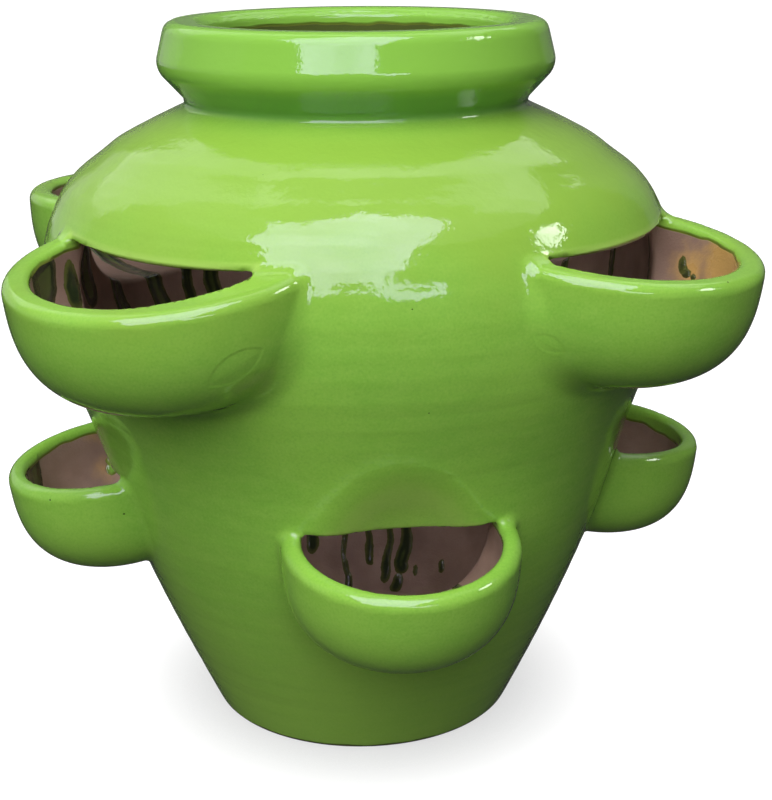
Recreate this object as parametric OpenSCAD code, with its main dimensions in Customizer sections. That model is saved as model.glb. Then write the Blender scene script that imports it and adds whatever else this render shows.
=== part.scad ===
// Strawberry jar planter in glazed stoneware.
// A thrown jar with a rolled collar carries two rows of cup-shaped planting pockets.
// Every pocket opens through a window in the wall into the soil space of the jar.
// The jar stands on the ground plane. The origin is the centre of its foot, +Z is up.

/* [Jar] */
// Height of the whole jar, from the ground to the top of the collar
jar_h = 400; // [370:1:440]
// Outer radius of the foot
foot_r = 88; // [75:1:105]
// Rounding of the outer edge of the foot
foot_round = 3; // [1:0.5:5]
// Outer radius of the jar at its widest place
belly_r = 177.5; // [165:0.5:195]
// Height of the widest place, as a share of the height of the jar
belly_share = 0.665; // [0.63:0.005:0.7]
// Radius of the curve just under the widest place
belly_arc = 150; // [110:5:180]
// Radius of the gentle bow of the lower wall
lower_arc = 1200; // [900:50:2400]
// Radius of the curve of the shoulder, as a share of the height from the widest place to the neck
shoulder_share = 0.889; // [0.67:0.001:0.93]
// Thickness of the thrown wall
wall = 11; // [8:0.5:13]

/* [Collar] */
// Height of the collar, from the crease to the top
collar_h = 44; // [36:0.5:52]
// Largest outer radius of the collar
collar_r = 108.5; // [98:0.5:118]
// How far the fullest part of the collar stands out past the neck
collar_swell = 14.5; // [8:0.5:18]
// Thickness of the collar, from its fullest part to the mouth
collar_t = 23.5; // [22:0.5:28]
// Height of the fullest part of the collar above the crease
collar_full_h = 22.5; // [16:0.5:26]
// How far the face of the collar leans in towards its top
collar_lean = 3; // [0:0.5:5]
// Rounding of the outer top edge of the collar
collar_round = 9; // [4:0.5:10]
// Rounding of the inner top edge of the collar
mouth_round = 10; // [3:0.5:10]

/* [Floor] */
// Thickness of the floor slab
floor_t = 12; // [8:0.5:18]
// Height of the hollow under the floor slab
floor_lift = 8; // [4:0.5:14]
// Radius of the drain hole
drain_r = 12; // [6:0.5:20]

/* [Pockets] */
// Number of pockets in each row
row_count = 4; // [4]
// Thickness of the bottom of a pocket
pocket_floor = 11; // [8:0.5:14]
// Fullness of the cup shape, where 2 is an ellipse and more is squarer
cup_power = 2.9; // [2.2:0.1:3.6]
// Rounding of the outer edge of a pocket lip
lip_outer_round = 6; // [3:0.5:6]
// Rounding of the inner edge of a pocket lip
lip_inner_round = 4; // [2:0.5:4]

/* [Lower pockets] */
// Height of the centre of the lip, as a share of the height of the jar
lower_share = 0.3925; // [0.35:0.0025:0.425]
// Outer radius of the lip
lower_r = 62; // [54:0.5:70]
// Thickness of the lip and of the side of the cup
lower_lip = 10.5; // [10:0.5:14]
// Depth of the cup below its lip, outside
lower_depth = 61; // [50:0.5:72]
// How far the centre of the cup lies inside the face of the wall
lower_sink = 6.5; // [0:0.5:12]
// Lean of the cup outwards, in degrees
lower_tilt = 8; // [0:0.2:12]
// Depth of the hollow pressed into the wall above each lower window
scoop_depth = 14; // [8:0.5:18]
// Radius of the outline of that hollow on the wall
scoop_r = 47; // [38:0.5:50]

/* [Upper pockets] */
// Height of the centre of the lip, as a share of the height of the jar
upper_share = 0.7375; // [0.7125:0.0025:0.755]
// Outer radius of the lip
upper_r = 81; // [72:0.5:84]
// Thickness of the lip and of the side of the cup
upper_lip = 14; // [11:0.5:16]
// Depth of the cup below its lip, outside
upper_depth = 69.5; // [58:0.5:78]
// How far the centre of the cup lies inside the face of the wall
upper_sink = 14; // [8:0.5:22]
// Lean of the cup outwards, in degrees
upper_tilt = 6; // [0:0.2:10]

/* [Hidden] */

glaze = "#6f9a35";
glaze_collar = "#7ca83e";
glaze_low = "#648d30";
clay = "#7a6450";

// how finely curves are stepped: sides of a full turn, and degrees along a profile arc
jar_sides = 144;
cup_sides = 96;
arc_step = 5;
// steps along the cup profile
cup_steps = 14;
// how far cutting shapes reach past the faces they cut
past = 20;

// heights of the neck, of the widest place and of the lips of the two rows
neck_z = jar_h - collar_h;
belly_z = jar_h * belly_share;
lower_z = jar_h * lower_share;
upper_z = jar_h * upper_share;

// the neck and the mouth follow the collar that stands on them
neck_r = collar_r - collar_swell;
mouth_r = collar_r - collar_t;
shoulder_arc = (neck_z - belly_z) * shoulder_share;

// points of an arc about [cx, cz] with radius r, from angle a to angle b
function arc_steps(a, b) = max(1, ceil(abs(b - a) / arc_step));
function arc_points(cx, cz, r, a, b) =
  let (n = arc_steps(a, b))
  [for (i = [0:n]) let (t = a + (b - a) * i / n) [cx + r * cos(t), cz + r * sin(t)]];

// shoulder: an arc from the belly, then a straight slope that touches it and ends at the neck
shoulder_cx = belly_r - shoulder_arc;
shoulder_end =
  let (dx = neck_r - shoulder_cx, dz = neck_z - belly_z)
  atan2(dz, dx) - acos(shoulder_arc / norm([dx, dz]));
slope_x = shoulder_cx + shoulder_arc * cos(shoulder_end);
slope_z = belly_z + shoulder_arc * sin(shoulder_end);

// lower wall: an arc through the foot that touches the belly arc from inside
belly_cx = belly_r - belly_arc;
foot_to_belly = [belly_cx - foot_r, belly_z];
foot_gap = norm(foot_to_belly);
lower_along = (lower_arc * lower_arc - pow(lower_arc - belly_arc, 2) + foot_gap * foot_gap) / (2 * foot_gap);
lower_across = sqrt(lower_arc * lower_arc - lower_along * lower_along);
foot_dir = foot_to_belly / foot_gap;
lower_c = [foot_r + foot_dir[0] * lower_along - foot_dir[1] * lower_across,
  foot_dir[1] * lower_along + foot_dir[0] * lower_across];
belly_start = atan2(belly_z - lower_c[1], belly_cx - lower_c[0]);

// angle on the lower arc, moved in by inset, where it is at height z
function lower_angle(inset, z) = asin((z - lower_c[1]) / (lower_arc - inset));

// outer radius of the jar at height z
function wall_r(z) =
  z > slope_z ? slope_x + (neck_r - slope_x) * (z - slope_z) / (neck_z - slope_z)
  : z > belly_z ? shoulder_cx + sqrt(pow(shoulder_arc, 2) - pow(z - belly_z, 2))
  : z > belly_z + belly_arc * sin(belly_start) ? belly_cx + sqrt(pow(belly_arc, 2) - pow(z - belly_z, 2))
  : lower_c[0] + sqrt(pow(lower_arc, 2) - pow(z - lower_c[1], 2));

// lean of the wall from upright at height z, in degrees
function wall_lean(z) = atan((wall_r(z + 1) - wall_r(z - 1)) / 2);

// outline of the jar moved in by inset, from height z0 up to the neck
function wall_outline(inset, z0) = concat(
  arc_points(lower_c[0], lower_c[1], lower_arc - inset, lower_angle(inset, z0), belly_start),
  arc_points(belly_cx, belly_z, belly_arc - inset, belly_start, 0),
  arc_points(shoulder_cx, belly_z, shoulder_arc - inset, 0, shoulder_end),
  [[neck_r - inset * cos(shoulder_end), neck_z - inset * sin(shoulder_end)]]);

// solid inside the outer face of the jar, from the ground up to the neck
module jar_outer() {
  rim = wall_outline(0, foot_round);
  foot_edge = arc_points(rim[0][0] - foot_round, foot_round, foot_round, -90, 0);
  rotate_extrude($fn = jar_sides)
    polygon(concat([[0, 0]], foot_edge, rim, [[0, neck_z]]));
}

// solid inside the inner face of the jar, open downwards and up through the mouth
module jar_inner() {
  face = wall_outline(wall, 0);
  rotate_extrude($fn = jar_sides)
    polygon(concat([[0, -past], [face[0][0], -past]], face, [[0, face[len(face) - 1][1]]]));
  translate([0, 0, belly_z])
    cylinder(r = mouth_r, h = jar_h - belly_z, $fn = jar_sides);
}

// a pocket is described by [height, radius, lip, depth, sink, tilt, first angle]
lower_row = [lower_z, lower_r, lower_lip, lower_depth, lower_sink, lower_tilt, -90];
upper_row = [upper_z, upper_r, upper_lip, upper_depth, upper_sink, upper_tilt, -135];

// puts children in the frame of one pocket: origin in the centre of the lip, +X outwards
module pocket_frame(row, i) {
  rotate([0, 0, row[6] + 360 * i / row_count])
    translate([wall_r(row[0]) - row[4], 0, row[0]])
      rotate([0, row[5], 0])
        children();
}

// cup profile from the bottom of the cup up to the level of its rounded lip
function cup_outline(r, depth, top) = [for (i = [0:cup_steps])
  let (t = 90 - 90 * i / cup_steps)
  [r * pow(cos(t), 2 / cup_power), -top - (depth - top) * pow(sin(t), 2 / cup_power)]];

// outer shape of a cup, with the outer rounding of its lip
module cup_outer(row) {
  rotate_extrude($fn = cup_sides)
    polygon(concat(
      cup_outline(row[1], row[3], lip_outer_round),
      arc_points(row[1] - lip_outer_round, -lip_outer_round, lip_outer_round, 0, 90),
      [[0, 0]]));
}

// planting space of a cup, up to the plane of its lip
module cup_space(row) {
  rotate_extrude($fn = cup_sides)
    polygon(concat(
      cup_outline(row[1] - row[2], row[3] - pocket_floor, lip_inner_round),
      [[row[1] - row[2], 0], [0, 0]]));
}

// flare that rounds the inner edge of the lip
module lip_flare(row) {
  inner = row[1] - row[2];
  rotate_extrude($fn = cup_sides)
    polygon(concat(
      arc_points(inner + lip_inner_round, -lip_inner_round, lip_inner_round, 180, 90),
      [[inner + lip_inner_round, past], [0, past], [0, -lip_inner_round]]));
}

// one pocket: a cup cut off by the face of the jar, so that it lands on the wall
module pocket(row, i) {
  difference() {
    pocket_frame(row, i)
      difference() {
        cup_outer(row);
        cup_space(row);
        lip_flare(row);
      }
    jar_outer();
  }
}

// the wall above a lower window is pressed in as a shallow bowl
scoop_ball = (scoop_r * scoop_r + scoop_depth * scoop_depth) / (2 * scoop_depth);
module scoop(i, r) {
  intersection() {
    rotate([0, 0, lower_row[6] + 360 * i / row_count])
      translate([wall_r(lower_z), 0, lower_z])
        rotate([0, wall_lean(lower_z), 0])
          translate([scoop_ball - scoop_depth, 0, 0])
            sphere(r = r, $fn = cup_sides);
    pocket_frame(lower_row, i)
      translate([-2 * lower_r, -2 * lower_r, 0])
        cube([4 * lower_r, 4 * lower_r, 2 * lower_r]);
  }
}

// thrown wall from the foot to the neck, with its pressed hollows and eight windows
module jar_wall() {
  color(glaze)
    difference() {
      union() {
        difference() {
          jar_outer();
          jar_inner();
        }
        intersection() {
          for (i = [0:row_count - 1])
            scoop(i, scoop_ball + wall);
          jar_outer();
        }
      }
      for (i = [0:row_count - 1]) {
        scoop(i, scoop_ball);
        pocket_frame(lower_row, i)
          cup_space(lower_row);
        pocket_frame(upper_row, i)
          cup_space(upper_row);
      }
    }
}

// floor slab that sits in the taper of the wall, with the drain hole
module jar_floor() {
  color(clay)
    difference() {
      intersection() {
        jar_inner();
        translate([0, 0, floor_lift])
          cylinder(r = belly_r, h = floor_t, $fn = jar_sides);
      }
      translate([0, 0, floor_lift - past])
        cylinder(r = drain_r, h = floor_t + 2 * past, $fn = 48);
    }
}

// rolled collar that stands on the neck
collar_under = (collar_swell * collar_swell + collar_full_h * collar_full_h) / (2 * collar_swell);
module collar() {
  full_z = neck_z + collar_full_h;
  top_r = collar_r - collar_lean;
  color(glaze_collar)
    rotate_extrude($fn = jar_sides)
      polygon(concat(
        [[mouth_r, neck_z]],
        arc_points(collar_r - collar_under, full_z, collar_under,
          -asin(collar_full_h / collar_under), 0),
        arc_points(top_r - collar_round, jar_h - collar_round, collar_round, 0, 90),
        arc_points(mouth_r + mouth_round, jar_h - mouth_round, mouth_round, 90, 180)));
}

module lower_pocket(i) {
  color(glaze_low)
    pocket(lower_row, i);
}

module upper_pocket(i) {
  color(glaze)
    pocket(upper_row, i);
}

jar_wall();
jar_floor();
collar();
lower_pocket(0);  // lower_pocket_front
lower_pocket(1);  // lower_pocket_right
lower_pocket(2);  // lower_pocket_back
lower_pocket(3);  // lower_pocket_left
upper_pocket(0);  // upper_pocket_front_left
upper_pocket(1);  // upper_pocket_front_right
upper_pocket(2);  // upper_pocket_back_right
upper_pocket(3);  // upper_pocket_back_left
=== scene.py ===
"""Strawberry jar planter in lime green glazed stoneware.

A thrown jar with a rolled collar carries two rows of pressed planting pockets. The sections follow the work of
the pottery: the wall is thrown, the collar is rolled, the pockets are set on, the joints are worked over, and
the jar is glazed and fired. Each clay piece's section gives its form as a distance in millimetres. The skins
of all pieces are cut out of the joined clay, so that they meet without a gap.
"""

import math
from collections import namedtuple

import bpy
import numpy as np
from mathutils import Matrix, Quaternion, Vector


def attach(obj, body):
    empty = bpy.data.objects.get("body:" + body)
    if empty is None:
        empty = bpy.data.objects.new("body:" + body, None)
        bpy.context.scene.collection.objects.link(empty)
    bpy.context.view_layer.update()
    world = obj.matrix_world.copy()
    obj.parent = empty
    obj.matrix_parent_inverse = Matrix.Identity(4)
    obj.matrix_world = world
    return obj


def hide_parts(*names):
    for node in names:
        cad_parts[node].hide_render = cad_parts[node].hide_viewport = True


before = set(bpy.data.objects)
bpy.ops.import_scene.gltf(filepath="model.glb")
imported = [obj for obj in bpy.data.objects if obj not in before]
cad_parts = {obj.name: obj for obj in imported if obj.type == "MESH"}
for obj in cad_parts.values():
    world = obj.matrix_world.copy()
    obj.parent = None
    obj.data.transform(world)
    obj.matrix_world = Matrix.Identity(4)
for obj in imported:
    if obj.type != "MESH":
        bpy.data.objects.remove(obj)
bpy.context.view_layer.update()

# ---------------------------------------------------------------------------------------------------------
# Camera
# A portrait lens at a little under a metre, a little to the left of the jar's front and looking slightly
# down on it. The place is in metres and the angles in degrees.
camera_place = (-0.12791, -0.88218, 0.46179)
camera_turn, camera_dip, camera_roll = 9.237, 17.518, 0.326
camera_lens, film_width = 71.44, 36
nearest, farthest = 0.02, 60


def placed(name, data):
    """A new object in the scene."""
    thing = bpy.data.objects.new(name, data)
    bpy.context.collection.objects.link(thing)
    return thing


camera_data = bpy.data.cameras.new("camera")
camera_data.lens = camera_lens
camera_data.sensor_width = film_width
camera_data.clip_start, camera_data.clip_end = nearest, farthest
camera = placed("camera", camera_data)
heading, dip = math.radians(camera_turn), math.radians(camera_dip)
ahead = Vector((math.sin(heading) * math.cos(dip), math.cos(heading) * math.cos(dip), -math.sin(dip)))
aim = ahead.to_track_quat("-Z", "Y")
aim.rotate(Quaternion(ahead, math.radians(camera_roll)))
camera.location = camera_place
camera.rotation_mode = "QUATERNION"
camera.rotation_quaternion = aim
bpy.context.scene.camera = camera

# ---------------------------------------------------------------------------------------------------------
# Thrown wall
# Stoneware thrown on the wheel in one piece, from the foot ring to the neck, 11 mm thick. Eight windows are
# cut in it, and the wall above each lower window is pressed in while the clay is soft.
pieces = [("thrown_wall", "jar_wall")]  # each skin's name, and the node that it stands for

foot_radius, foot_round = 88.0, 3.0
belly_radius, belly_height = 177.5, 266.0
belly_arc, lower_arc, shoulder_arc = 150.0, 1200.0, 80.0
neck_radius, neck_height = 94.0, 356.0
wall = 11.0
window_round = 2.5

# the shoulder goes over from its arc into a straight slope up to the neck
shoulder_centre = belly_radius - shoulder_arc
slope_across, slope_rise = neck_radius - shoulder_centre, neck_height - belly_height
shoulder_end = math.atan2(slope_rise, slope_across)
shoulder_end -= math.acos(shoulder_arc / math.hypot(slope_across, slope_rise))

# the belly's arc goes over into the long arc that ends at the foot
belly_centre = belly_radius - belly_arc
foot_gap = math.hypot(belly_centre - foot_radius, belly_height)
along = (lower_arc**2 - (lower_arc - belly_arc) ** 2 + foot_gap**2) / (2 * foot_gap)
aside = math.sqrt(lower_arc**2 - along**2)
gap_x, gap_z = (belly_centre - foot_radius) / foot_gap, belly_height / foot_gap
lower_centre = (foot_radius + gap_x * along - gap_z * aside, gap_z * along + gap_x * aside)
belly_start = math.atan2(belly_height - lower_centre[1], belly_centre - lower_centre[0])

# the wheel leaves the wall a little slimmer under the belly and near the neck: depth, height and reach in mm
slim_places = ((2.6, 182, 34), (2.2, 328, 9))
# slow wobbles of a hand-thrown wall: depth, waves in a round, where they start, mm of height to a radian
wobbles = ((0.45, 2, 0.7, 160), (0.3, 3, 0, -70), (0.2, 5, 0, 45))
ring_depth, ring_spacing = 0.045, 13
fine_ring_depth, fine_ring_spacing = 0.02, 5.3
slim_share, wobble_share = 0.9, 0.6
wall_inset = 0.5  # keeps the wobble inside the plain form
true_above = 30  # the foot is cut true, and the wobble comes in over this height


def wall_radius(z):
    """Outer radius of the wall at a height."""
    if z > belly_height:
        on_arc = shoulder_centre + math.sqrt(max(shoulder_arc**2 - (z - belly_height) ** 2, 0))
        slope_z = belly_height + shoulder_arc * math.sin(shoulder_end)
        slope_x = shoulder_centre + shoulder_arc * math.cos(shoulder_end)
        return on_arc if z < slope_z else slope_x - (z - slope_z) * math.tan(shoulder_end)
    if z > belly_height + belly_arc * math.sin(belly_start):
        return belly_centre + math.sqrt(belly_arc**2 - (z - belly_height) ** 2)
    return lower_centre[0] + math.sqrt(lower_arc**2 - (z - lower_centre[1]) ** 2)


def thrown_wall(x, y, z):
    """Distance to the outer face of the wall, more than 0 outside."""
    r = np.hypot(x, y)
    turn = np.arctan2(y, x)
    out, up = r - shoulder_centre, z - belly_height
    slope = out * math.cos(shoulder_end) + up * math.sin(shoulder_end) - shoulder_arc
    shoulder = np.where(np.arctan2(up, out) > shoulder_end, slope, np.hypot(out, up) - shoulder_arc)
    out = r - belly_centre
    lower = np.where(np.arctan2(up, out) > belly_start, np.hypot(out, up) - belly_arc,
                     np.hypot(r - lower_centre[0], z - lower_centre[1]) - lower_arc)
    face = np.where(up > 0, shoulder, lower)
    slim = sum(deep * np.exp(-(((z - height) / reach) ** 2)) for deep, height, reach in slim_places)
    wobble = sum(deep * np.sin(waves * turn + start + z / climb) for deep, waves, start, climb in wobbles)
    rings = (ring_depth * np.sin(2 * np.pi * z / ring_spacing + 0.6 * np.sin(turn + 1))
             + fine_ring_depth * np.sin(2 * np.pi * z / fine_ring_spacing + turn))
    loose = np.clip(z / true_above, 0, 1)
    return face + slim * slim_share + loose * (wall_inset + wobble * wobble_share + rings)


def round_trim(a, b, r):
    """What two forms share, with its edge rounded to radius r."""
    return np.minimum(-r, np.maximum(a, b)) + np.hypot(np.maximum(r + a, 0), np.maximum(r + b, 0))


def steps(value, low, high):
    """0 below low, 1 above high, and smooth between."""
    t = np.clip((value - low) / (high - low), 0, 1)
    return t * t * (3 - 2 * t)


# pressed hollows above the lower windows: a shallow bowl from a ball pushed into the wall
press_angles = [math.radians(-90 + 90 * k) for k in range(4)]
press_depth, press_radius, press_height = 11.0, 58.0, 141.0
press_foot, press_round = 104, 4.5  # the hollow ends here, behind the cup
bead_height, bead_width = 0.7, 2.6  # the clay rises to a soft bead round the hollow
bead_from, bead_full = 120, 150
press_ball = (press_radius**2 + press_depth**2) / (2 * press_depth)
press_lean = math.atan((wall_radius(press_height + 1) - wall_radius(press_height - 1)) / 2)


def pressed(face, x, y, z, angle):
    """The face with one hollow pressed in, where angle is its place round the jar."""
    reach = wall_radius(press_height) + (press_ball - press_depth) * math.cos(press_lean)
    height = press_height - (press_ball - press_depth) * math.sin(press_lean)
    cx, cy = reach * math.cos(angle), reach * math.sin(angle)
    ball = np.sqrt((x - cx) ** 2 + (y - cy) ** 2 + (z - height) ** 2) - press_ball
    bead = bead_height * np.exp(-((ball / bead_width) ** 2)) * steps(z, bead_from, bead_full)
    return round_trim(face, np.minimum(-ball, z - press_foot), press_round) - bead


# ---------------------------------------------------------------------------------------------------------
# Collar
# A thick roll of stoneware laid on the neck and turned true on the wheel: a leaning face, a defined edge
# under it, and a crowned top round the mouth. The corner to the shoulder is worked in with a finger.
pieces.append(("rolled_collar", "collar"))

jar_height = 400.0
collar_face = ((109.5, 380.0), (105.8, 394.5))  # two points of the profile, radius and height
collar_under = ((93.0, 356.0), (109.3, 373.7))
collar_edge_round, collar_top_round, mouth_round = 4.8, 5.0, 6.5
mouth_radius = 85.0
crease_round = 4.5


def beside(r, z, ends):
    """Distance from the line through two points of a profile, more than 0 on its outer side."""
    (r0, z0), (r1, z1) = ends
    length = math.hypot(r1 - r0, z1 - z0)
    return ((r - r0) * (z1 - z0) - (z - z0) * (r1 - r0)) / length


def rolled_collar(x, y, z, solid=False):
    """Distance to the collar, or to the collar with its mouth filled."""
    r = np.hypot(x, y)
    turn = np.arctan2(y, x)
    r = r + 0.25 * np.sin(2 * turn + 2.1) + 0.15 * np.sin(3 * turn)  # a quarter of a mm out of round
    body = round_trim(beside(r, z, collar_face), beside(r, z, collar_under), collar_edge_round)
    body = round_trim(body, z - jar_height, collar_top_round)
    return body if solid else round_trim(body, mouth_radius - r, mouth_round)


# ---------------------------------------------------------------------------------------------------------
# Pockets
# Cups of stoneware pressed in a mould, cut to the curve of the wall and set on with slip. Each one sits a
# little differently, because they are set by hand.
cup_fullness = 2.9  # 2 is a ball, and more is fuller
cup_floor = 11.0
lip_outer_round, lip_inner_round = 6.0, 4.0
pinch_from, pinch_full = 10, 50  # where along the lip its thicker end begins and is reached

# angle is its place round the jar, reach and height the middle of its lip, radius the lip's outer one, lip its
# width, depth from there to the outer bottom, tilt outwards, stretch its width over its length, corner the
# worked corner's radius at the root, and extra how much thicker the lip's right end is; mm and degrees
Cup = namedtuple("Cup", "name angle reach height radius lip depth tilt stretch corner extra")
cups = [
    Cup("lower_pocket_front", -90.1, 145.5, 153.9, 60.3, 10.2, 63.0, 10.5, 1.02, 3.4, 0.0),
    Cup("lower_pocket_right", 0.2, 145.5, 157.7, 60.6, 10.2, 61.0, 6.0, 1.05, 3.4, 0.0),
    Cup("lower_pocket_back", 90.4, 145.3, 156.6, 60.9, 10.2, 61.0, 8.6, 1.03, 3.4, 0.0),
    Cup("lower_pocket_left", 179.9, 145.5, 158.7, 60.5, 10.2, 61.0, 7.9, 1.08, 3.4, 0.0),
    Cup("upper_pocket_front_left", -134.8, 157.8, 295.5, 80.9, 14.1, 69.5, 8.6, 1.01, 9.0, 9.0),
    Cup("upper_pocket_front_right", -43.6, 157.8, 295.3, 80.9, 14.1, 69.5, 7.4, 0.97, 9.0, 0.0),
    Cup("upper_pocket_back_right", 44.6, 157.6, 294.2, 80.6, 14.1, 69.5, 5.0, 1.0, 9.0, 0.0),
    Cup("upper_pocket_back_left", 133.4, 157.8, 293.3, 80.4, 14.1, 69.5, 0.8, 0.99, 9.0, 0.0),
]
pieces += [(cup.name.replace("pocket", "cup"), cup.name) for cup in cups]


def bowl(u, v, n, radius, depth, top):
    """Distance to a full cup shape: upright at its top, and rounding over to its bottom."""
    across = np.hypot(u, v) / radius
    down = np.maximum(-n - top, 0) / (depth - top)
    full = np.maximum((across**cup_fullness + down**cup_fullness) ** (1 / cup_fullness), 0.05)
    fall = np.hypot(across ** (cup_fullness - 1) / radius, down ** (cup_fullness - 1) / (depth - top))
    fall = np.maximum(fall * full ** (1 - cup_fullness), 1 / (1.5 * radius))
    return (full - 1) / fall


def cup_place(cup, x, y, z):
    """Places in one pocket's own frame: outwards, sideways and up from the middle of its lip."""
    angle, tilt = math.radians(cup.angle), math.radians(cup.tilt)
    out = x * math.cos(angle) + y * math.sin(angle) - cup.reach
    side = -x * math.sin(angle) + y * math.cos(angle)
    rise = z - cup.height
    return (out * math.cos(tilt) - rise * math.sin(tilt), side / cup.stretch,
            out * math.sin(tilt) + rise * math.cos(tilt))


def set_cup(cup, u, v, n):
    """Distances to the hollow cup, to its planting space and to the cup with that space filled."""
    outside = bowl(u, v, n, cup.radius, cup.depth, lip_outer_round)
    outside = round_trim(outside, n, lip_outer_round)
    pinch = 1 + cup.extra / (cup.radius - cup.lip - cup.extra) * steps(v, pinch_from, pinch_full)
    space = bowl(u, v * pinch, n, cup.radius - cup.lip, cup.depth - cup_floor, lip_inner_round)
    return round_trim(outside, -space, lip_inner_round), np.maximum(space, n), outside


# ---------------------------------------------------------------------------------------------------------
# Joined clay
# The whole jar as one distance field: the wall, the collar and the cups, with the corners between them
# worked round, less the hollow inside and the planting spaces. Every skin below is taken from it.
AIR, WALL, COLLAR, FIRST_CUP = 0, 1, 2, 3  # 0, and then the pieces in their order

hollow_shoulder, hollow_round = 335, 6.0  # the hollow narrows to the mouth above this height
space_round = 3.0  # where a planting space opens into the hollow
lip_corner = 5.0  # worked corner at the height of a cup's lip, which goes over into the root's own
corner_from, corner_full = 4, 30  # this far below the lip
press_low, press_high, press_near = 60, 240, 60  # a pressed hollow lies between and beyond these
spare_side, spare_above, spare_below = 30, 55, 35  # a cup and its corner reach no further than this


def round_join(a, b, r):
    """Two forms as one, with a hollow corner of radius r between them."""
    return np.maximum(r, np.minimum(a, b)) - np.hypot(np.maximum(r - a, 0), np.maximum(r - b, 0))


def joined(x, y, z, parts=False):
    """Distance to the joined clay. With parts, also the piece that each place belongs to, and the distances
    to the filled outer form and to the face of the wall."""
    face = thrown_wall(x, y, z)
    for angle in press_angles:
        near = ((x * math.cos(angle) + y * math.sin(angle) > press_near)
                & (z < press_high) & (z > press_low))
        if near.any():
            face[near] = pressed(face[near], x[near], y[near], z[near], angle)
    mouth = np.maximum(np.hypot(x, y) - mouth_radius, hollow_shoulder - z)
    hollow = round_join(face + wall, mouth, hollow_round)
    filled = round_trim(face, -z, foot_round)
    found = []
    for cup in cups:
        angle = math.radians(cup.angle)
        across = cup.radius * max(1, cup.stretch) + spare_side
        near = ((np.abs(x - cup.reach * math.cos(angle)) < across)
                & (np.abs(y - cup.reach * math.sin(angle)) < across)
                & (z < cup.height + spare_above) & (z > cup.height - cup.depth - spare_below))
        near = np.flatnonzero(near)
        if len(near):
            u, v, n = cup_place(cup, x[near], y[near], z[near])
            shell, space, outside = set_cup(cup, u, v, n)
            hollow[near] = round_join(hollow[near], space, space_round)
            found.append((cup, near, shell, outside, n))
    form = round_trim(filled, -hollow, window_round)
    outer = filled.copy()
    owner = np.full(x.shape, WALL, np.int8) if parts else None
    for cup, near, shell, outside, n in found:
        corner = lip_corner + (cup.corner - lip_corner) * steps(-n, corner_from, corner_full)
        form[near] = round_join(form[near], shell, corner)
        if parts:
            mine = (outside < face[near]) & (face[near] > 0)
            owner[near[mine]] = FIRST_CUP + cups.index(cup)
            outer[near] = round_join(outer[near], outside, corner)
    high = np.flatnonzero(z > hollow_shoulder)
    if len(high):
        ring = rolled_collar(x[high], y[high], z[high])
        form[high] = round_join(form[high], ring, crease_round)
        if parts:
            solid = rolled_collar(x[high], y[high], z[high], solid=True)
            outer[high] = round_join(outer[high], solid, crease_round)
    clay = np.maximum(form, -hollow)
    if not parts:
        return clay
    owner[z > neck_height] = COLLAR
    return clay, owner, outer, face


def rise_of(x, y, z, step=0.35):
    """Distance to the clay and the way it grows, from four places round each one."""
    total, gx, gy, gz = 0, 0, 0, 0
    for sx, sy, sz in ((1, -1, -1), (-1, -1, 1), (-1, 1, -1), (1, 1, 1)):
        d = joined(x + sx * step, y + sy * step, z + sz * step)
        total, gx, gy, gz = total + d, gx + sx * d, gy + sy * d, gz + sz * d
    grow = np.stack([gx, gy, gz], 1) / (4 * step)
    return total / 4, grow


# ---------------------------------------------------------------------------------------------------------
# Skins
# A grid round the axis of the wheel is laid over the clay, and a net of four-sided faces is drawn where the
# clay ends. Neighbouring pieces share their edge points, so no gap shows at a joint.
grid_step = 2.5
grid_turns = 420
grid_inner, grid_outer, grid_low, grid_high = 64.0, 240.0, -5.0, 405.0
grid_shift = 0.013  # keeps a layer of the grid off the flat foot
grid_r = np.arange(grid_inner, grid_outer, grid_step)
grid_z = np.arange(grid_low, grid_high, grid_step) + grid_shift
shape = (grid_turns, len(grid_z), len(grid_r))

block = 8  # the clay is first felt in blocks of this many steps, and then only near its skin in each step
block_reach = 1.25
deep = 50.0  # stands for any distance far from the skin
blocks_at_once = 1200


def place_of(index_a, index_z, index_r):
    """Position in mm of a place given in grid steps."""
    angle = index_a * (2 * np.pi / grid_turns)
    r = grid_inner + index_r * grid_step
    return r * np.cos(angle), r * np.sin(angle), grid_z[0] + index_z * grid_step


block_counts = [math.ceil(s / block) for s in shape]
ba, bz, br = (b.ravel() for b in np.meshgrid(*(np.arange(n) for n in block_counts), indexing="ij"))
block_clay = joined(*place_of(*((b + 0.5) * block - 0.5 for b in (ba, bz, br))))
clay_at = np.where(block_clay < 0, -deep, deep).reshape(block_counts).astype(np.float32)
for axis in range(3):
    clay_at = np.repeat(clay_at, block, axis)
owner_at = np.zeros(clay_at.shape, np.int8)
ia, iz, ir = (i.ravel() for i in np.meshgrid(*(np.arange(block),) * 3, indexing="ij"))
chosen = np.flatnonzero(np.abs(block_clay) < block * grid_step * block_reach)
for start in range(0, len(chosen), blocks_at_once):
    some = chosen[start:start + blocks_at_once]
    a, h, r = ((b[some, None] * block + i).ravel() for b, i in ((ba, ia), (bz, iz), (br, ir)))
    x, y, z = (c.astype(np.float32) for c in place_of(a, h, r))
    clay, owner, *_ = joined(x, y, z, parts=True)
    clay_at[a, h, r] = clay
    owner_at[a, h, r] = np.where(clay < 0, owner, AIR)
clay_at, owner_at = (g[:shape[0], :shape[1], :shape[2]] for g in (clay_at, owner_at))


def neighbours(grid, axis):
    """A grid and the same grid one step on. The first direction goes round the jar and closes."""
    if axis == 0:
        return grid, np.roll(grid, -1, 0)
    cut, move = [slice(None)] * 3, [slice(None)] * 3
    cut[axis], move[axis] = slice(None, -1), slice(1, None)
    return grid[tuple(cut)], grid[tuple(move)]


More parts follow.
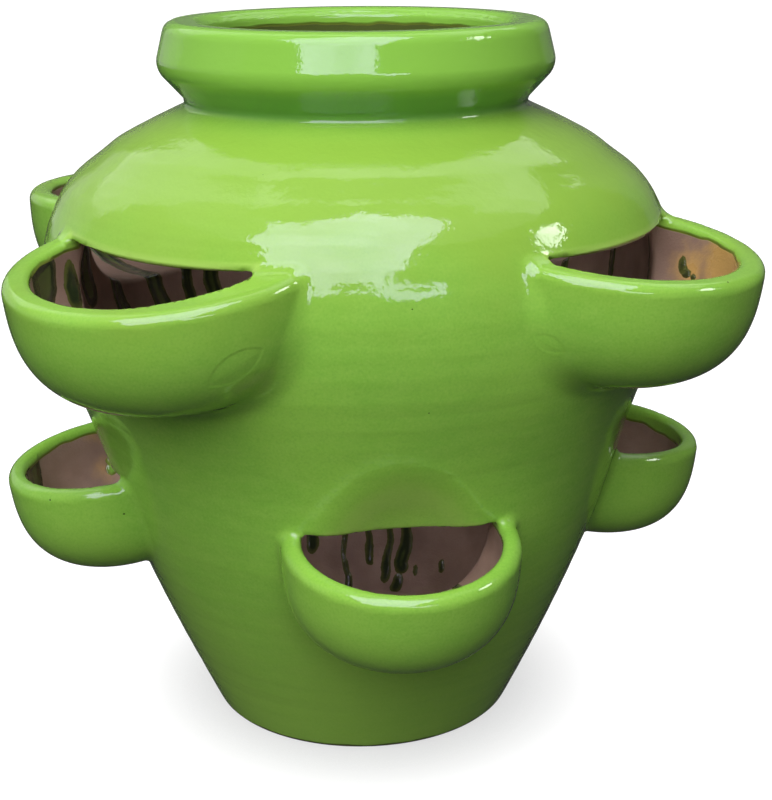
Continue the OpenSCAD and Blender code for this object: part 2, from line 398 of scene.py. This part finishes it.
def net_of(owner_at, clay_at):
    """The net between all pieces and the air: faces as four cell numbers, the piece on each side of each
    face, the cells with the middle that each face gives them, and whether that face is on the air."""
    _, size_z, size_r = owner_at.shape
    faces, sides, cells, middles, airy = [], [], [], [], []
    for axis in range(3):
        here, there = neighbours(owner_at, axis)
        d0, d1 = neighbours(clay_at, axis)
        edge = np.nonzero(here != there)
        side = np.stack([here[edge], there[edge]], 1)
        air = side.min(1) == AIR
        e0, e1 = d0[edge].astype(float), d1[edge].astype(float)
        share = np.where(air, e0 / np.where(air, e0 - e1, 1), 0.5)
        at = np.stack(edge, 1)
        # the two other directions, in the order that makes a face look along this one
        first, second = ((1, 2), (2, 0), (0, 1))[axis]
        ring = []
        for step_first, step_second in ((-1, -1), (0, -1), (0, 0), (-1, 0)):
            cell = at.copy()
            cell[:, first] += step_first
            cell[:, second] += step_second
            middle = np.zeros((len(at), 3))
            middle[:, first], middle[:, second] = -step_first, -step_second
            middle[:, axis] = share
            ring.append(((cell[:, 0] % grid_turns) * size_z + cell[:, 1]) * size_r + cell[:, 2])
            middles.append(middle)
            airy.append(air)
        cells += ring
        faces.append(np.stack(ring, 1))
        sides.append(side)
    return tuple(np.concatenate(part) for part in (faces, sides, cells, middles, airy))


faces, sides, cells, middles, airy = net_of(owner_at, clay_at)
numbers, back = np.unique(cells, return_inverse=True)
weight = np.where(airy, 1.0, 1e-6)  # the air's faces place a cell's point, and joint faces only where alone
total = np.bincount(back, weight)
middle = np.stack([np.bincount(back, weight * middles[:, k]) / total for k in range(3)], 1)
on_air = np.bincount(back, airy.astype(float)) > 0
cell_at = np.stack(np.unravel_index(numbers, shape), 1)
points = np.stack(place_of(*(cell_at + middle).T), 1)
faces = np.searchsorted(numbers, faces)

# a joint face that dips under the skin at one corner is folded through that corner, so that it stays inside
dips = np.flatnonzero((sides.min(1) != AIR) & (on_air[faces].sum(1) == 3))
first = (np.argmin(on_air[faces[dips]], 1) + 2) % 4
faces[dips] = np.take_along_axis(faces[dips], (first[:, None] + np.arange(4)) % 4, 1)

# points on the air are drawn onto the clay's face, and points inside a joint stay just under it
draws, longest_draw, least_grow = 3, 1.5, 0.2
joint_below, joint_least_grow = 0.9, 0.3
skin, buried = np.flatnonzero(on_air), np.flatnonzero(~on_air)
for _ in range(draws):
    d, grow = rise_of(*points[skin].T)
    step = d / np.maximum((grow**2).sum(1), least_grow)
    points[skin] -= np.clip(step, -longest_draw, longest_draw)[:, None] * grow
d, grow = rise_of(*points[skin].T)
normals = np.zeros_like(points)
normals[:, 2] = 1
normals[skin] = grow / np.linalg.norm(grow, axis=1)[:, None]
d, grow = rise_of(*points[buried].T)
length = np.maximum(np.linalg.norm(grow, axis=1), joint_least_grow)
points[buried] -= np.maximum(d + joint_below, 0)[:, None] * grow / length[:, None]

# ---------------------------------------------------------------------------------------------------------
# Glaze and bare clay
# Lime green glaze over stoneware, poured and dipped, and fired glossy. It stops raggedly inside the lips and
# the mouth. Inside, the brown clay is bare but for darker runs, where thin glaze went down the wall. Painted
# light is mixed into the colours: warm light on the shoulder and low down, shade under the collar and in two
# cups, and patches of sunlight on the bare clay.
mouth_glazed_to, mouth_glazed_in = 390.0, 95  # height down to which, and radius in to which
lip_glaze, deeper_lips = 5.0, {"lower_pocket_right": 10.0, "lower_pocket_left": 6.5}  # mm down inside a lip
glaze_turns_in = 3  # mm over an outer edge
window_glazed_in, space_glazed = 7, 4  # mm behind the wall's face, and off the planting space's own face
foot_wiped = 1.4  # the glaze is wiped off the foot up to here, so that it doesn't stick in the kiln
neck_dark_above, dark_below = 371, 2.5  # height, and mm under the outer form
never = -30.0  # stands for any place far from a mark
bend_reach = 4.0  # an edge or a corner is felt this far from the skin

# dark runs on the hollow's face: angle round the jar, top, bottom, half width, all but the angle in mm
runs = [
    (88, 118, 14, 2.6), (79, 116, 38, 2.8), (71.5, 122, 28, 3.0), (65, 215, 36, 4.6), (66.4, 27, 23, 3.4),
    (101, 60, 49, 4.0), (47.9, 42, 38, 2.0), (58.4, 36, 33, 1.6), (148, 300, 205, 7.5), (135, 292, 196, 9.0),
    (125.5, 288, 190, 6.0), (118.5, 300, 186, 8.0), (160, 262, 240, 9.0), (28, 300, 205, 4.2),
    (-12, 300, 222, 5.0), (12, 280, 243, 3.0), (-60, 384, 310, 6.0), (-95, 384, 290, 5.0),
    (-130, 384, 325, 7.0), (170, 384, 300, 5.0), (60, 384, 322, 6.0), (95, 384, 335, 8.0),
    (205, 160, 60, 3.4), (214, 150, 84, 4.4), (-20, 150, 70, 3.2), (5, 112, 44, 3.6), (-75, 118, 50, 3.0),
    (-98, 115, 34, 3.4), (186, 112, 58, 3.0), (-52, 228, 120, 4.0), (-40, 225, 98, 3.4),
]
# single marks inside, at x, y and z: dark blots with half their width and height, drops of bright glaze and
# painted patches of sunlight with their radius. The first three blots, in the right front upper cup, are dark
# glaze; the others are painted shade on the far sides of the two left cups.
blots_and_painted_shade = [(166.8, -74.5, 271.5, 2.8, 5.0), (169.0, -77.5, 267.0, 3.6, 2.6), (170.5, -82.5, 266.0, 2.2, 1.8),
         (-192, 13, 147, 13, 26), (-172, -88, 283, 15, 20), (-160, -66, 268, 6, 18), (-166, -70, 248, 5, 9)]
drops = [(-147.0, 49.3, 129.0, 4.4), (-148.5, 50.0, 135.0, 3.2)]
sunlight_patches = [(178, -108, 277, 27.0), (170, -80, 270, 15.0), (-150, 51, 128, 8.5), (-157, 52.5, 152, 6.0),
         (166, 33, 138, 7.0)]


def run_reach(x, y, z):
    """How far inside a dark run each place is, in mm. A run wavers on its way and is thickest at its end."""
    r = np.hypot(x, y)
    turn = np.degrees(np.arctan2(y, x))
    best = np.full(x.shape, never)
    for angle, top, bottom, half in runs:
        aside = np.radians((turn - angle + 180) % 360 - 180) * r
        aside = aside + 1.2 * np.sin(z / 9 + angle) + 0.6 * np.sin(z / 3.7)
        beyond = np.maximum(np.maximum(z - top, bottom - z), 0)
        thick = half * (0.75 + 0.35 * steps(z, bottom + 28, bottom + 4))
        best = np.maximum(best, thick - np.hypot(aside, beyond))
    return best


def within(x, y, z, px, py, pz, size):
    """How far inside a ball each place is, in mm."""
    return size - np.sqrt((x - px) ** 2 + (y - py) ** 2 + (z - pz) ** 2)


def coverage(x, y, z):
    """How far inside the bright glaze, a dark run or painted shade, and a painted patch of sunlight each place is,
    in mm.
    """
    _, _, outer, face = joined(x, y, z, parts=True)
    bright = np.maximum(glaze_turns_in + outer,
                        np.minimum(z - mouth_glazed_to, mouth_glazed_in - np.hypot(x, y)))
    for cup in cups:
        u, v, n = cup_place(cup, x, y, z)
        _, space, _ = set_cup(cup, u, v, n)
        turn = np.arctan2(v, u)
        ragged = 0.7 * np.sin(turn * 5 + cup.angle) + 0.3 * np.sin(turn * 17)
        lip = np.minimum(deeper_lips.get(cup.name, lip_glaze) + ragged + n, space_glazed - np.abs(space))
        bright = np.maximum(bright, np.minimum(lip, face + window_glazed_in))
    for drop in drops:
        bright = np.maximum(bright, within(x, y, z, *drop))
    bright = np.minimum(bright, z - foot_wiped)
    # inside, the neck is dark all round, and the runs go down from it
    turn = np.arctan2(y, x)
    dark = np.maximum(run_reach(x, y, z), z - neck_dark_above + 3 * np.sin(5 * turn) + 2 * np.sin(13 * turn))
    # blots: the first three are dark glaze, the others painted shade on the far sides of the two left cups
    for px, py, pz, wide, tall in blots_and_painted_shade:
        away = np.sqrt(((x - px) ** 2 + (y - py) ** 2) / wide**2 + ((z - pz) / tall) ** 2)
        dark = np.maximum(dark, wide * (1 - away))
    # painted patches of warm sunlight on the bare clay inside the cups
    sunlight = np.full(x.shape, never)
    for patch in sunlight_patches:
        sunlight = np.maximum(sunlight, within(x, y, z, *patch))
    return bright, np.minimum(dark, -outer - dark_below), sunlight


# what the material reads at each point: the three coverages, and bend, above 0 on an edge, below in a corner
marks_at = {label: np.zeros(len(points)) for label in ("bright", "run", "sunlight", "bend")}
marks_at["bright"][skin], marks_at["run"][skin], marks_at["sunlight"][skin] = coverage(*points[skin].T)
outward, inward = (points[skin] + side * normals[skin] * bend_reach for side in (1, -1))
marks_at["bend"][skin] = (joined(*outward.T) + joined(*inward.T)) / bend_reach


def linear(hex_colour):
    """An sRGB hex colour as the linear colour that a shader takes."""
    parts = [int(hex_colour[k:k + 2], 16) / 255 for k in (1, 3, 5)]
    return tuple(c / 12.92 if c <= 0.04045 else ((c + 0.055) / 1.055) ** 2.4 for c in parts) + (1.0,)


def add(tree, kind, inputs=(), give=0, **settings):
    """Adds one node and gives one of its outputs. Its inputs, in order or by name, are values or the outputs
    of other nodes, and the settings are its own."""
    node = tree.nodes.new("ShaderNode" + kind)
    for name, value in settings.items():
        setattr(node, name, value)
    for key, value in inputs.items() if isinstance(inputs, dict) else enumerate(inputs):
        if isinstance(value, bpy.types.NodeSocket):
            tree.links.new(value, node.inputs[key])
        else:
            node.inputs[key].default_value = value
    return node.outputs[give] if len(node.outputs) else None


def emptied(owner):
    """The node tree of a material or a world, without its first nodes."""
    owner.use_nodes = True
    owner.node_tree.nodes.clear()
    return owner.node_tree


def coats_over(tree, colour, coats):
    """A colour under coats of others: each coat's colour, how much of it there is where it is full, and the
    values that bring it in, each with its start and end."""
    for coat, full, *ways in coats:
        share = full
        for value, start, end in ways:
            way = add(tree, "MapRange", (value, start, end), interpolation_type="SMOOTHSTEP")
            share = add(tree, "Math", (way, share), operation="MULTIPLY")
        colour = add(tree, "Mix", {"Factor": share, "A": colour, "B": linear(coat)}, "Result", data_type="RGBA")
    return colour


LIME, LIME_DEEP, LIME_PALE = "#8fc54b", "#87bf48", "#98ca55"
# the shoulder colour paints warm light from above, the low colour warm light reflected from the ground, and the
# neck colour the shade under the collar
LIME_SHOULDER_WARM_LIGHT, LIME_LOW_GROUND_LIGHT, LIME_COLLAR, LIME_NECK_SHADE = "#90ba45", "#93bb4f", "#8bc44b", "#69a146"
GLAZE_THIN, GLAZE_POOL, GLAZE_RIM, SPECK = "#a9cf62", "#679f3c", "#77702f", "#2c3a14"
# the last clay colour is painted warm sunlight on the bare clay
CLAY, CLAY_DARK, CLAY_GROG, SUNLIGHT_ON_CLAY = "#a28676", "#886e5f", "#8c7768", "#d4a95f"
RUN_THIN, RUN_DEEP, RUN_THICK = "#565a2c", "#29331f", "#55632f"

# noise over the clay: its real size in mm, how finely it breaks up, and how much quicker it changes along z
glaze_patterns = {
    "wander": (6.0, 3.0, 1),  # the ragged ends of runs
    "wave": (15.0, 1.0, 1),  # the slow waves in the bright glaze's end
    "drift": (70.0, 2.0, 1), "streak": (16.0, 3.0, 2.6), "grain": (1.3, 1.0, 1), "cloud": (55.0, 2.0, 1),
    "clay_cloud": (28.0, 3.0, 1), "clay_grain": (1.6, 2.0, 1),
    "clay_gloss": (12.0, 2.0, 1), "glaze_gloss": (35.0, 3.0, 1),
    "peel": (5.0, 2.0, 1), "fine_peel": (1.7, 1.0, 1), "rings": (75.0, 2.0, 75 / 9), "grog": (1.2, 2.0, 1),
}
speck_spacing = 9.0
glaze_ior = 1.54
# pinholes: position and radius in mm
pinholes = [(-179.2, -53.0, 149.9, 0.7), (-139.7, -64.8, 143.6, 0.7), (154.1, -173.9, 285.3, 0.6)]
# almond marks of a tool: middle, the way across it, length and width
tool_marks = [((-84.0, -184.0, 258.0), (-0.513, 0.337, 0.792), 31.0, 12.0),
              ((67.7, -170.4, 257.3), (0.536, 0.178, 0.83), 17.0, 8.5)]
mark_bed, mark_middle = -0.19, 0.16  # a mark is pressed in by the first, and rises to its middle by the second
mark_edge = 0.8


def glazed_stoneware():
    """Lime green glossy glaze on brown stoneware, poured and fired: a wet, slightly uneven shine, paler and
    yellower where it thins over an edge and deeper where it pools in a corner. Matt brown clay where it ends."""
    material = bpy.data.materials.new("glazed_stoneware")
    tree = emptied(material)
    smooth = "SMOOTHSTEP"
    place = add(tree, "TexCoord", give="Object")
    mm = add(tree, "VectorMath", (place, (1000, 1000, 1000)), operation="MULTIPLY")
    level = add(tree, "SeparateXYZ", (mm,), "Z")
    bright, run, sunlight, bend = (add(tree, "Attribute", give="Fac", attribute_name=label) for label in marks_at)
    noise = {}
    for label, (size, detail, quicker) in glaze_patterns.items():
        spot = add(tree, "VectorMath", (mm, (1 / size, 1 / size, quicker / size)), operation="MULTIPLY")
        noise[label] = add(tree, "TexNoise", {"Vector": spot, "Scale": 1.0, "Detail": detail}, "Fac")

    # each glaze ends unevenly: the bright one in slow waves of 1 mm, the runs more raggedly
    wave = add(tree, "Math", (noise["wave"], 0.5), operation="SUBTRACT")
    wander = add(tree, "Math", (noise["wander"], 0.5), operation="SUBTRACT")
    bright_edge = add(tree, "Math", (wave, 3.0, bright), operation="MULTIPLY_ADD")
    run_edge = add(tree, "Math", (wander, 2.6, run), operation="MULTIPLY_ADD")
    sunlight_edge = add(tree, "Math", (wander, 16.0, sunlight), operation="MULTIPLY_ADD")
    is_bright, is_run, is_sunlight = (
        add(tree, "MapRange", (edge, start, end), interpolation_type=smooth)
        for edge, start, end in ((bright_edge, -0.15, 0.25), (run_edge, -0.2, 0.3), (sunlight_edge, -4.0, 17.0)))

    # bright glaze. Its colour holds painted light: warm light yellows the shoulder, warm light reflected from the
    # ground yellows it low down, and shade darkens the band under the collar. The shoulder and low zones have
    # clouded edges.
    cloud = add(tree, "Math", (level, 45.0), operation="SUBTRACT")
    cloud = add(tree, "Math", (noise["cloud"], 90.0, cloud), operation="MULTIPLY_ADD")
    lime = coats_over(tree, linear(LIME), [
        (LIME_DEEP, 1.0, (noise["drift"], 0.35, 0.65)),
        (LIME_PALE, 0.35, (noise["streak"], 0.3, 0.75)),
        (GLAZE_THIN, 0.17, (noise["grain"], 0.5, 0.75)),
        (GLAZE_POOL, 0.17, (noise["grain"], 0.5, 0.25)),
        # painted warm light on the shoulder, and low down painted warm light reflected from the ground
        (LIME_SHOULDER_WARM_LIGHT, 0.85, (cloud, 262, 322), (level, 358, 346)),
        (LIME_LOW_GROUND_LIGHT, 0.6, (cloud, 150, 40)),
        (LIME_COLLAR, 1.0, (level, 366, 376)),
        # painted shade in the band under the collar
        (LIME_NECK_SHADE, 1.0, (level, 353, 358), (level, 376, 366)),
        (GLAZE_THIN, 0.75, (bend, 0.18, 0.9)),
        (GLAZE_POOL, 0.6, (bend, -0.12, -0.7)),
        (GLAZE_RIM, 0.75, (bright_edge, 2.2, 0.2)),
    ])

    # specks half a mm across in a few cells of a loose grid, and the pinholes
    cell = add(tree, "TexVoronoi", {"Vector": mm, "Scale": 1 / speck_spacing}, "Distance", feature="F1")
    chance = add(tree, "SeparateColor", (cell.node.outputs["Color"],), "Red")
    speck, chosen_cell = (add(tree, "MapRange", (value, start, end), interpolation_type=smooth)
                          for value, start, end in ((cell, 0.055, 0.03), (chance, 0.93, 0.95)))
    speck = add(tree, "Math", (speck, chosen_cell), operation="MULTIPLY")
    for px, py, pz, size in pinholes:
        away = add(tree, "VectorMath", (mm, (px, py, pz)), "Value", operation="DISTANCE")
        hole = add(tree, "MapRange", (away, size, size * 0.55), interpolation_type=smooth)
        speck = add(tree, "Math", (speck, hole), operation="MAXIMUM")
    share = add(tree, "Math", (speck, 0.8), operation="MULTIPLY")
    lime = add(tree, "Mix", {"Factor": share, "A": lime, "B": linear(SPECK)}, "Result", data_type="RGBA")

    # bare clay with its painted patches of sunlight, and the dark runs, which show some green where they are thick
    clay = coats_over(tree, linear(CLAY), [
        (CLAY_DARK, 1.0, (noise["clay_cloud"], 0.3, 0.7)),
        (CLAY_GROG, 0.35, (noise["clay_grain"], 0.45, 0.8)),
        # painted sunlight on the bare clay
        (SUNLIGHT_ON_CLAY, 0.85, (sunlight_edge, -4.0, 17.0)),
    ])
    dark = coats_over(tree, linear(RUN_THIN), [
        (RUN_DEEP, 1.0, (run_edge, 0.2, 3.0)),
        (RUN_THICK, 0.85, (run_edge, 3.4, 6.5)),
    ])
    colour = clay
    for where, finish in ((is_run, dark), (is_bright, lime)):
        colour = add(tree, "Mix", {"Factor": where, "A": colour, "B": finish}, "Result", data_type="RGBA")

    # gloss: matt clay, glossier painted sunlight patches and runs, and the wet glaze
    gloss, wet = (add(tree, "MapRange", values, interpolation_type=smooth) for values in (
        (noise["clay_gloss"], 0.3, 0.7, 0.55, 0.72), (noise["glaze_gloss"], 0.3, 0.75, 0.045, 0.11)))
    for where, finish in ((is_sunlight, 0.22), (is_run, 0.12), (is_bright, wet)):
        gloss = add(tree, "Mix", {"Factor": where, "A": gloss, "B": finish})

    # relief in mm: orange peel, throwing rings, the glazes' thickness at their ends, grog where the clay is
    # bare, the pits of the specks, and the tool marks
    not_bright, not_run = (
        add(tree, "Math", (1.0, where), operation="SUBTRACT") for where in (is_bright, is_run))
    bare = add(tree, "Math", (not_bright, not_run), operation="MULTIPLY")
    grog = add(tree, "Math", (noise["grog"], bare), operation="MULTIPLY")
    bright_rise, run_rise = (add(tree, "MapRange", (edge, 0.0, end), interpolation_type=smooth)
                             for edge, end in ((bright_edge, 2.0), (run_edge, 2.2)))
    relief = [(noise["peel"], 0.16), (noise["fine_peel"], 0.03), (noise["rings"], 0.07), (bright_rise, 0.7),
              (run_rise, 0.8), (grog, 0.18), (speck, -0.25)]
    for middle, across, length, width in tool_marks:
        # an almond is what two large circles share
        bow = (length**2 + width**2) / (4 * width)
        centres = [tuple(m + side * a * (bow - width / 2) for m, a in zip(middle, across)) for side in (-1, 1)]
        away = add(tree, "Math", tuple(add(tree, "VectorMath", (mm, centre), "Value", operation="DISTANCE")
                                       for centre in centres), operation="MAXIMUM")
        for start, end, tall in ((bow + mark_edge, bow - mark_edge, mark_bed),
                                 (bow - 0.5, bow - width / 2, mark_middle)):
            inward = add(tree, "MapRange", (away, start, end), interpolation_type=smooth)
            relief.append((inward, tall))
    height = 0.0
    for pattern, tall in relief:
        height = add(tree, "Math", (pattern, tall, height), operation="MULTIPLY_ADD")
    bump = add(tree, "Bump", {"Height": height, "Strength": 1.0, "Distance": 0.001})

    shader = add(tree, "BsdfPrincipled",
                 {"Base Color": colour, "Roughness": gloss, "Normal": bump, "IOR": glaze_ior})
    add(tree, "OutputMaterial", {"Surface": shader})
    return material


# ---------------------------------------------------------------------------------------------------------
# Glazed pieces
# The wall, the collar and the eight cups come out of the kiln as one. Each is a closed skin here, cut out of
# the net, and stands for its node.
glaze = glazed_stoneware()


def glazed_skin(name, piece):
    """The closed skin of one piece, with the material's marks on its points."""
    ours = np.concatenate([faces[sides[:, 0] == piece], faces[sides[:, 1] == piece][:, [0, 3, 2, 1]]])
    used, ours = np.unique(ours, return_inverse=True)
    ours = ours.reshape(-1, 4)
    mesh = bpy.data.meshes.new(name)
    mesh.vertices.add(len(used))
    mesh.vertices.foreach_set("co", (points[used] / 1000).astype(np.float32).ravel())
    mesh.loops.add(ours.size)
    mesh.loops.foreach_set("vertex_index", ours.astype(np.int32).ravel())
    mesh.polygons.add(len(ours))
    mesh.polygons.foreach_set("loop_start", np.arange(0, ours.size, 4, dtype=np.int32))
    mesh.polygons.foreach_set("loop_total", np.full(len(ours), 4, np.int32))
    mesh.update(calc_edges=True)
    mesh.validate()
    mesh.normals_split_custom_set_from_vertices(normals[used].tolist())
    for label, values in marks_at.items():
        mesh.attributes.new(label, "FLOAT", "POINT").data.foreach_set("value", values[used].astype(np.float32))
    mesh.materials.append(glaze)
    return placed(name, mesh)


for number, (name, node) in enumerate(pieces, WALL):
    thing = glazed_skin(name, number)
    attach(thing, "root")
    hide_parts(node)

# ---------------------------------------------------------------------------------------------------------
# Drain floor
# A slab of the same stoneware with a drain hole, pressed into the foot from inside and joined with slip. It is
# left bare, and the solid's own shape is right.


def bare_stoneware():
    """Brown stoneware left bare: matt, a little uneven in colour, with grog and the rings of the wheel."""
    material = bpy.data.materials.new("bare_stoneware")
    tree = emptied(material)
    place = add(tree, "TexCoord", give="Object")
    mm = add(tree, "VectorMath", (place, (1000, 1000, 1000)), operation="MULTIPLY")
    cloud = add(tree, "TexNoise", {"Vector": mm, "Scale": 1 / 28, "Detail": 3.0}, "Fac")
    grain = add(tree, "TexNoise", {"Vector": mm, "Scale": 1 / 1.4, "Detail": 2.0}, "Fac")
    rings = add(tree, "TexWave", {"Vector": mm, "Scale": 1 / 18, "Distortion": 1.2, "Detail": 1.0}, "Fac",
                wave_type="RINGS", rings_direction="Z")
    dark = add(tree, "MapRange", (cloud, 0.3, 0.7))
    grog = add(tree, "MapRange", (grain, 0.5, 0.8, 0.0, 0.4))
    colour = linear(CLAY)
    for share, coat in ((dark, CLAY_DARK), (grog, CLAY_GROG)):
        colour = add(tree, "Mix", {"Factor": share, "A": colour, "B": linear(coat)}, "Result", data_type="RGBA")
    relief = add(tree, "Math", (rings, 1.6, grain), operation="MULTIPLY_ADD")
    bump = add(tree, "Bump", {"Height": relief, "Strength": 1.0, "Distance": 0.0002})
    shader = add(tree, "BsdfPrincipled", {"Base Color": colour, "Roughness": 0.72, "Normal": bump})
    add(tree, "OutputMaterial", {"Surface": shader})
    return material


drain_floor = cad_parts["jar_floor"]
drain_floor.data.materials.clear()
drain_floor.data.materials.append(bare_stoneware())

# ---------------------------------------------------------------------------------------------------------
# White floor
# A wide sheet of white paper. It shows white to the camera, in mirrors and through glass, less the shade
# under the jar, and throws almost no light back on the jar.
floor_half, shade_reach = 20, 0.067  # in metres
shade_dark, shade_clear, shade_least = 0.4, 0.96, 0.66
paper_light = 0.3


def seen_rays(tree):
    """1 for a ray that shows the background: from the camera, mirrored, or through glass."""
    rays = add(tree, "LightPath").node.outputs
    seen = add(tree, "Math", (rays["Is Camera Ray"], rays["Is Glossy Ray"]), operation="MAXIMUM")
    return add(tree, "Math", (seen, rays["Is Transmission Ray"]), operation="MAXIMUM")


corners = [(-floor_half, -floor_half, 0), (floor_half, -floor_half, 0), (floor_half, floor_half, 0),
           (-floor_half, floor_half, 0)]
floor_mesh = bpy.data.meshes.new("floor")
floor_mesh.from_pydata(corners, [], [(0, 1, 2, 3)])
floor = placed("floor", floor_mesh)
paper = bpy.data.materials.new("white_floor")
tree = emptied(paper)
open_sky = add(tree, "AmbientOcclusion", {"Distance": shade_reach}, "AO", samples=8)
shade = add(tree, "MapRange", (open_sky, shade_dark, shade_clear, shade_least, 1.0))
glow = add(tree, "Emission", {"Color": (1, 1, 1, 1), "Strength": shade})
pale = add(tree, "BsdfDiffuse", {"Color": add(tree, "Math", (shade, paper_light), operation="MULTIPLY")})
shown = add(tree, "AddShader", (glow, pale))
plain = add(tree, "BsdfDiffuse", {"Color": (0.05, 0.05, 0.045, 1)})
add(tree, "OutputMaterial", {"Surface": add(tree, "MixShader", (seen_rays(tree), plain, shown))})
floor_mesh.materials.append(paper)

# ---------------------------------------------------------------------------------------------------------
# Soft sky
# A white backdrop to the camera. It lights the jar softly, brightest from the left front and from above, dim
# from the right front, with some light from behind. Right and front are the camera's own.
sky_level, sky_least = 0.26, 0.02
sky_low, sky_high, sky_low_share, sky_high_share = -0.05, 0.8, 0.02, 1.25

world = bpy.data.worlds.new("studio")
bpy.context.scene.world = world
tree = emptied(world)
way = add(tree, "TexCoord", give="Generated")
to_right, to_front, to_up = (
    add(tree, "VectorMath", (way, axis), "Value", operation="DOT_PRODUCT") for axis in (
        (math.cos(heading), -math.sin(heading), 0), (-math.sin(heading), -math.cos(heading), 0), (0, 0, 1)))
right_front = add(tree, "Math", (to_right, to_front), operation="MULTIPLY")
behind, before = (add(tree, "Math", (to_front, 0.0), operation=half) for half in ("MINIMUM", "MAXIMUM"))
behind, before = (add(tree, "Math", (side, side), operation="MULTIPLY") for side in (behind, before))
light = sky_level
for part, share in ((right_front, -0.77), (to_right, -0.64), (to_front, 0.51), (behind, 1.5), (before, 0.98)):
    light = add(tree, "Math", (part, share, light), operation="MULTIPLY_ADD")
height = add(tree, "MapRange", (to_up, sky_low, sky_high, sky_low_share, sky_high_share),
             interpolation_type="SMOOTHSTEP")
light = add(tree, "Math", (light, height), operation="MULTIPLY")
light = add(tree, "Math", (light, sky_least), operation="MAXIMUM")
soft = add(tree, "Background", {"Color": (1, 1, 1, 1), "Strength": light})
white = add(tree, "Background", {"Color": (1, 1, 1, 1), "Strength": 1.0})
add(tree, "OutputWorld", {"Surface": add(tree, "MixShader", (seen_rays(tree), soft, white))})

# ---------------------------------------------------------------------------------------------------------
# Window and surroundings
# A tall window at the left front, which lights the jar, and the cards and flags that the wet glaze mirrors: a
# bright spot at the right, the ceiling, and the darker and paler parts of the room. The camera never sees them.
card_middle = 0.29  # height in m that the cards are placed round
window_distance, roof_distance, floor_flag_radius, floor_flag_height = 2.4, 2.6, 5, 0.0006
band_parts = 24


def towards(azimuth, elevation, distance):
    """A place round the jar. Azimuth 0 is the front of the jar and 90 its right."""
    a, e = math.radians(azimuth), math.radians(elevation)
    way = Vector((math.sin(a) * math.cos(e), -math.cos(a) * math.cos(e), math.sin(e)))
    return way * distance + Vector((0, 0, card_middle))


def card(name, corners, faces, mirrored, cast=0.0, tint=(1, 1, 1, 1)):
    """A card or flag: how bright the glaze mirrors it, how bright it lights the jar, and its mirrored tint."""
    mesh = bpy.data.meshes.new(name)
    mesh.from_pydata(corners, [], faces)
    mesh.validate()
    thing = placed(name, mesh)
    shine = bpy.data.materials.new(name)
    tree = emptied(shine)
    mirror = add(tree, "LightPath").node.outputs["Is Glossy Ray"]
    place = add(tree, "TexCoord", give="Object")
    # no window or wall is evenly bright
    cloud = add(tree, "TexNoise", {"Vector": place, "Scale": 1.9, "Detail": 3.0}, "Fac")
    cloud = add(tree, "MapRange", (cloud, 0.35, 0.65, 0.78, 1.12))
    strength = add(tree, "Math", (cloud, mirrored), operation="MULTIPLY")
    strength = add(tree, "Mix", {"Factor": mirror, "A": cast, "B": strength})
    hue = add(tree, "Mix", {"Factor": mirror, "A": (1, 1, 1, 1), "B": tint}, "Result", data_type="RGBA")
    add(tree, "OutputMaterial", {"Surface": add(tree, "Emission", {"Color": hue, "Strength": strength})})
    mesh.materials.append(shine)
    thing.visible_camera = False
    thing.visible_diffuse = cast > 0
    thing.visible_shadow = False
    thing.visible_transmission = False


def flat(name, outline, distance, *looks):
    """A flat card by its outline, in azimuth and elevation."""
    card(name, [towards(a, e, distance) for a, e in outline], [tuple(range(len(outline)))], *looks)


def band(name, first, last, low, high, mirrored, distance):
    """A curved card between two azimuths and two elevations."""
    turns = [first + (last - first) * k / band_parts for k in range(band_parts + 1)]
    corners = [towards(a, e, distance) for a in turns for e in (low, (low + high) / 2, high)]
    faces = [(3 * k + j, 3 * k + 3 + j, 3 * k + 4 + j, 3 * k + 1 + j) for k in range(band_parts) for j in range(2)]
    card(name, corners, faces, mirrored)


# outlines, in azimuth and elevation
window = [(-70, 65), (-52, 70), (-40, 80), (0, 86), (47, 83), (60, 75), (54, 64), (28, 52), (14, 40), (5, 28),
          (3, 22), (12, 19), (22, 19), (21, 15), (13, 10), (3, 11), (-3, 20), (-14, 21), (-20, 17), (-30, 12),
          (-40, 22), (-43, 35), (-60, 48), (-57, 57)]
spot = [(65, 31), (73, 39), (84, 37), (79, 28), (74, 27), (69, 25)]
roof = [(-80, 66), (-60, 71), (-50, 82), (0, 87), (55, 85), (72, 76), (62, 62), (100, 64), (140, 80), (180, 86),
        (-150, 80), (-110, 64)]
flat("window_card", window, window_distance, 5.3, 3.6, (0.95, 0.82, 1.3, 1))
flat("side_card", spot, window_distance, 11.0)
flat("roof_flag", roof, roof_distance, 0.4)
for name, *place_and_look in (  # from and to azimuth, from and to elevation, how bright, and distance in m
        ("front_flag", -75, 128, -8, 46, 0.1, 4.6),
        ("left_flag", -128, -75, -8, 46, 0.28, 4.6),
        ("high_left_flag", -128, 90, 46, 66, 0.5, 4.8),
        ("right_sky_card", 90, 145, 34, 66, 1.4, 4.8),
        ("left_sky_card", 199, 232, 22, 66, 1.05, 4.8),
        ("back_sky_card", 120, 240, 66, 89, 1.7, 4.9),
        ("back_flag", 145, 199, -8, 66, 0.15, 4.8),
        ("right_flag", 72, 126, -8, 34, 0.06, 4.0),
        ("back_right_flag", 126, 145, -8, 34, 0.2, 4.0),
        ("back_left_flag", 199, 232, -8, 22, 0.5, 4.0)):
    band(name, *place_and_look)
ring = [math.radians(360 * k / band_parts) for k in range(band_parts)]
card("floor_flag", [(floor_flag_radius * math.cos(a), floor_flag_radius * math.sin(a), floor_flag_height)
                    for a in ring], [tuple(range(band_parts))], 0.045)

bpy.context.scene.view_settings.view_transform = "Standard"
